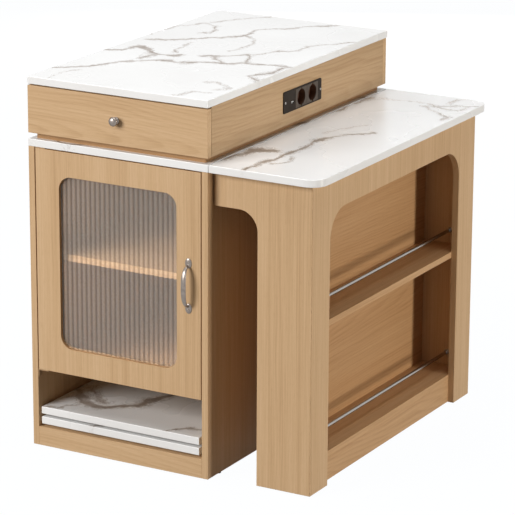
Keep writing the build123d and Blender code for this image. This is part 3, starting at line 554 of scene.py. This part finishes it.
def reeded_glass(first_groove):
    """Lightly frosted glass, a little milky, with painted shade in the grooves and a painted highlight on
    each reed's crest. It lets the lamps into the cupboard.
    """
    look = Shader("reeded_glass", {"IOR": 1.46, "Transmission Weight": 0.90, "Specular IOR Level": 0.4})
    here = look.place()
    grain = look.noise(here, 900.0, 2.0)
    cloud = look.noise(here, 5.0, 3.0)
    across = look.node("SeparateXYZ", {"Vector": here}).outputs[0]
    turn = look.math("FRACT", look.math("DIVIDE", look.math("SUBTRACT", across, first_groove), REED_PITCH))
    # painted highlight near each reed's crest, painted shade in its grooves
    crest_highlight = look.smooth(look.math("ABSOLUTE", look.math("SUBTRACT", turn, 0.40)), 0.12, 0.46, 1.0, 0.0)
    colour = look.mix(crest_highlight, GLASS_GROOVE_SHADE, GLASS_CREST_HIGHLIGHT)
    colour = look.mix(look.spread(cloud, 0.0, 0.16), colour, GLASS_CLOUD)
    look.drive("Base Color", colour)
    look.drive("Roughness", look.spread(grain, 0.12, 0.19))
    look.bump(grain, 0.08, 0.05 * MM)
    clear = look.node("BsdfTransparent", {"Color": (*GLASS_SHADOW, 1)})
    look.blend_in(clear, look.node("LightPath", {}).outputs["Is Shadow Ray"])
    return look.material


def make_glass():
    """A flat sheet with upright half-round reeds on its front, drawn column by column."""
    low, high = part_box("door_glass")
    middle = (low.x + high.x) / 2
    count = round((high.x - low.x) / REED_PITCH)
    first_groove = low.x - 0.5 * MM
    radius = (REED_PITCH ** 2 / 4 + REED_H ** 2) / (2 * REED_H)
    places = [first_groove + REED_PITCH * step / REED_STEPS for step in range(count * REED_STEPS + 1)]
    places = [low.x] + [x for x in places if low.x + 0.1 * MM < x < high.x - 0.1 * MM] + [high.x]
    body = bmesh.new()
    columns = []
    for x in places:
        off = ((x - first_groove) / REED_PITCH % 1 - 0.5) * REED_PITCH
        front = low.y + radius - math.sqrt(radius ** 2 - off ** 2)
        inside = max(0.0, abs(x - middle) - (high.x - low.x) / 2 + GLASS_CORNER)
        inset = GLASS_CORNER - math.sqrt(GLASS_CORNER ** 2 - min(inside, GLASS_CORNER) ** 2)
        ends = (low.z + inset, high.z - inset)
        columns.append([body.verts.new((x, y, z)) for y, z in
                        ((front, ends[0]), (front, ends[1]), (high.y, ends[1]), (high.y, ends[0]))])
    for left, right in zip(columns, columns[1:]):
        for corner in range(4):
            after = (corner + 1) % 4
            body.faces.new((left[corner], right[corner], right[after], left[after]))
    body.faces.new(columns[0])
    body.faces.new(reversed(columns[-1]))
    bmesh.ops.recalc_face_normals(body, faces=body.faces)
    for face in body.faces:
        face.smooth = True
    for edge in body.edges:
        edge.smooth = edge.calc_face_angle(0) < math.radians(30)
    return as_object("door_glass_reeds", body, reeded_glass(first_groove))


# ---- metal and plastic ----
# Metals: dark and light tone, roughness, the axis they are brushed along, the patina's strength.
METALS = {
    "pewter": ((0.18, 0.152, 0.134), (0.34, 0.30, 0.27), 0.30, None, 0.4),
    "zinc_steel": ((0.50, 0.51, 0.52), (0.66, 0.67, 0.68), 0.32, "Y"),
    "screw_steel": ((0.36, 0.34, 0.32), (0.52, 0.50, 0.47), 0.26),
    "rod_steel": ((0.34, 0.315, 0.29), (0.44, 0.41, 0.38), 0.20, "Y"),
    "brass": ((0.52, 0.36, 0.16), (0.72, 0.55, 0.28), 0.28),
    "rail_aluminium": ((0.55, 0.56, 0.57), (0.70, 0.71, 0.72), 0.38, "X"),
}
# Plastics: dark and light tone, roughness.
PLASTICS = {
    "pivot_enamel": ((0.42, 0.27, 0.15), (0.50, 0.33, 0.19), 0.5),
    "strip_plastic": ((0.018, 0.012, 0.008), (0.028, 0.019, 0.013), 0.42),
    "usb_plastic": ((0.62, 0.62, 0.61), (0.74, 0.74, 0.73), 0.40),
    "black_plastic": ((0.018, 0.018, 0.018), (0.030, 0.030, 0.030), 0.45),
    "clear_strip": ((0.30, 0.20, 0.11), (0.38, 0.27, 0.16), 0.5),
    "rubber_pad": ((0.02, 0.02, 0.02), (0.035, 0.035, 0.035), 0.8),
}
PLASTIC_IOR = 1.48
PLASTIC_GRAIN = 1400.0      # the texture's waves per metre
SOCKET_DARK, SOCKET_LIGHT = (0.070, 0.052, 0.040), (0.092, 0.070, 0.054)
# painted warm light down in the socket cups
SOCKET_CUP_WARM_LIGHT = (0.085, 0.038, 0.022)
# The CAD nodes that keep their own shape and only take a finish.
FINISHES = {
    "pewter": ("door_handle_screws",),
    "zinc_steel": ("shelf_pins", "door_strike_plate", "drawer_knob_screw", "drawer_slides_outer",
                   "drawer_slides_middle", "drawer_slides_inner", "castor_forks"),
    "screw_steel": ("power_strip_screws",),
    "rod_steel": ("guard_rods",),
    "brass": ("door_pivot_bushes", "power_strip_earth_clips"),
    "rail_aluminium": ("rail_fixed", "rail_middle_1", "rail_middle_2", "rail_last"),
    "pivot_enamel": ("door_pivot_plates",),
    "strip_plastic": ("power_strip_plate", "power_strip_housing", "cable_fittings"),
    "socket_plastic": ("power_strip_sockets",),
    "usb_plastic": ("power_strip_usb_module",),
    "black_plastic": ("cabinet_glides", "door_catch", "castor_wheels_inner", "castor_wheels_outer"),
    "clear_strip": ("door_glass_retainer",),
    "rubber_pad": ("leaf_lower_pads", "leaf_upper_pads"),
}


def metal(name, dark, light, rough, scratch_axis=None, patina=0.0):
    """Metal with fine brushing along one axis, soft blotches and a dulled patina."""
    look = Shader(name, {"Metallic": 1.0})
    stretch = [2600.0, 2600.0, 2600.0]
    if scratch_axis:
        stretch[AXES[scratch_axis]] = 60.0
    brushed = look.noise(look.scaled(look.place(), stretch), 1.0, 2.0)
    blotch = look.noise(look.place(), 160.0, 3.0, 0.6)
    tone = look.math("ADD", look.math("MULTIPLY", brushed, 0.4), look.math("MULTIPLY", blotch, 0.6))
    colour = look.ramp(tone, [(0.3, dark), (0.7, light)])
    if patina:
        dull = look.smooth(look.noise(look.place(), 420.0, 4.0, 0.7), 0.52, 0.70)
        colour = look.mix(look.math("MULTIPLY", dull, patina), colour, tuple(v * 0.45 for v in dark))
    look.drive("Base Color", colour)
    look.drive("Roughness", look.spread(tone, rough * 1.35, rough * 0.7))
    look.bump(brushed, 0.12, 0.03 * MM)
    return look.material


def plastic(name, dark, light, rough):
    """Moulded plastic with a fine eroded texture."""
    look = Shader(name, {"IOR": PLASTIC_IOR, "Specular IOR Level": 0.08})
    texture = look.noise(look.place(), PLASTIC_GRAIN, 2.0, 0.6)
    blotch = look.noise(look.place(), 30.0, 3.0)
    tone = look.math("ADD", look.math("MULTIPLY", texture, 0.5), look.math("MULTIPLY", blotch, 0.5))
    look.drive("Base Color", look.ramp(tone, [(0.35, dark), (0.65, light)]))
    look.drive("Roughness", look.spread(texture, rough - 0.06, rough + 0.08))
    look.bump(texture, 0.25, 0.04 * MM)
    return look.material


def socket_plastic():
    """The sockets' brown plastic: a soft sheen on the face, and painted warm light, redder, down in the
    cups.
    """
    look = Shader("socket_plastic", {"IOR": PLASTIC_IOR, "Specular IOR Level": 0.12})
    here = look.place()
    texture = look.noise(here, PLASTIC_GRAIN, 2.0, 0.6)
    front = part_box("power_strip_sockets")[1].x
    depth = look.node("SeparateXYZ", {"Vector": here}).outputs[0]
    face = look.smooth(depth, front - 3 * MM, front - 1 * MM)
    tone = look.ramp(texture, [(0.35, SOCKET_DARK), (0.65, SOCKET_LIGHT)])
    look.drive("Base Color", look.mix(face, SOCKET_CUP_WARM_LIGHT, tone))
    look.drive("Roughness", look.spread(texture, 0.26, 0.38))
    look.bump(texture, 0.2, 0.04 * MM)
    return look.material


# ---- handle and knob ----
BOW_HALF = 47.5 * MM        # the bow's roots, up and down from its middle
BOW_OUT = 23 * MM
BOW_ROOT = 0.5 * MM         # how far out its roots begin
BOW_THICK = 3 * MM
BOW_END, BOW_BELLY = 3.1 * MM, 3.6 * MM     # its half width at the roots, and how much wider in the middle
FOOT_HALF = (8.8 * MM, 12.5 * MM)
FOOT_OUT = 3.2 * MM
FOOT_PITCH = 53.5 * MM      # the feet, up and down from the handle's middle


def skin(body, rings):
    """Joins rings of points, all of the same length, into a closed skin."""
    loops = [[body.verts.new(point) for point in ring] for ring in rings]
    count = len(loops[0])
    for near, far in zip(loops, loops[1:]):
        for i in range(count):
            j = (i + 1) % count
            body.faces.new((near[i], near[j], far[j], far[i]))
    body.faces.new(list(reversed(loops[0])))
    body.faces.new(loops[-1])


def oval(centre, half, out, around):
    """An upright ring of points, out in front of a centre on the door."""
    turns = [2 * math.pi * i / around for i in range(around)]
    return [centre + Vector((math.cos(turn) * half[0], -out, math.sin(turn) * half[1])) for turn in turns]


def front_centre(node):
    """The middle of a fitting's seat, on the face that it is screwed to."""
    low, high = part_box(node)
    return Vector(((low.x + high.x) / 2, high.y, (low.z + high.z) / 2))


def bow_rings(centre, steps=40, around=20):
    """An oval section along an arched path, broad in the middle and slim at the ends."""
    rings = []
    for step in range(steps + 1):
        turn = math.pi * step / steps
        rise = -math.cos(turn)
        up = BOW_HALF * math.copysign(abs(rise) ** 0.72, rise)
        out = BOW_OUT * math.sin(turn) ** 0.85
        slope = Vector((0, -math.cos(turn) * BOW_OUT, math.sin(turn) * BOW_HALF)).normalized()
        normal = slope.cross(Vector((1, 0, 0)))
        belly = math.sin(turn) ** 1.5
        wide = BOW_END + BOW_BELLY * belly
        thick = BOW_THICK * (0.95 - 0.15 * belly)
        middle = centre + Vector((0, -out - BOW_ROOT, up))
        ring = []
        for i in range(around):
            angle = 2 * math.pi * i / around
            ring.append(middle + Vector((math.cos(angle) * wide, 0, 0)) + normal * math.sin(angle) * thick)
        rings.append(ring)
    return rings


def foot_rings(centre, steps=9, around=40):
    """A low oval dome that sits flat on the door."""
    rings = []
    for step in range(steps + 1):
        turn = math.pi / 2 * step / (steps + 0.4)
        share = math.cos(turn) ** 0.55
        half = (FOOT_HALF[0] * share, FOOT_HALF[1] * share)
        rings.append(oval(centre, half, FOOT_OUT * math.sin(turn), around))
    return rings


def make_handle(look):
    """A cast bow with two oval feet, grown together."""
    centre = front_centre("door_handle")
    body = bmesh.new()
    skin(body, bow_rings(centre))
    for side in (-1, 1):
        skin(body, foot_rings(centre + Vector((0, 0, side * FOOT_PITCH))))
    bmesh.ops.recalc_face_normals(body, faces=body.faces)
    handle = as_object("door_handle_cast", body, look)
    grown = handle.modifiers.new("grown together", "REMESH")
    grown.mode = "VOXEL"
    grown.voxel_size = 0.55 * MM
    grown.use_smooth_shade = True
    soft = handle.modifiers.new("fillets", "SMOOTH")
    soft.factor = 0.5
    soft.iterations = 5
    return handle


# The knob's outline from its crown to its foot and into its screw hole: radius, distance out, in mm.
KNOB_OUTLINE = [(3.0, 20.4), (6.4, 19.5), (9.3, 17.9), (11.4, 14.9), (10.9, 12.2), (8.3, 10.4), (6.0, 9.2),
                (4.8, 7.6), (4.7, 6.0), (5.5, 4.1), (7.7, 2.9), (8.5, 1.8), (8.4, 0.2), (7.4, 0.02),
                (2.3, 0.02), (2.1, 0.6), (2.1, 11.4)]
KNOB_AROUND = 32


def make_knob(look):
    """A turned knob with a domed head."""
    centre = front_centre("drawer_knob")
    body = bmesh.new()
    skin(body, [oval(centre, (radius * MM, radius * MM), out * MM, KNOB_AROUND)
                for radius, out in KNOB_OUTLINE])
    bmesh.ops.recalc_face_normals(body, faces=body.faces)
    for face in body.faces:
        face.smooth = True
    knob = as_object("drawer_knob_turned", body, look)
    finer = knob.modifiers.new("finer", "SUBSURF")
    finer.levels = finer.render_levels = 2
    return knob


# ---- every node gets its look ----
def give(look, *names):
    """One material for whole CAD nodes."""
    for name in names:
        for slot in nodes[name].material_slots:
            slot.material = look


def dress_boards():
    for board, cut in BOARDS.items():
        give(oak(board, *cut), board)


def make_slabs():
    field.seed_set(VEIN_SEED)
    for node, (body, veins) in SLABS.items():
        link(make_slab(node, veins), body, node)


def dress_fittings():
    looks = {name: metal(name, *finish) for name, finish in METALS.items()}
    looks |= {name: plastic(name, *finish) for name, finish in PLASTICS.items()}
    looks["socket_plastic"] = socket_plastic()
    for name, covered in FINISHES.items():
        give(looks[name], *covered)
    link(make_handle(looks["pewter"]), "door", "door_handle")
    link(make_knob(looks["pewter"]), "drawer", "drawer_knob")


make_camera()
make_floor()
make_studio()
dress_boards()
make_slabs()
link(make_glass(), "door", "door_glass")
dress_fittings()
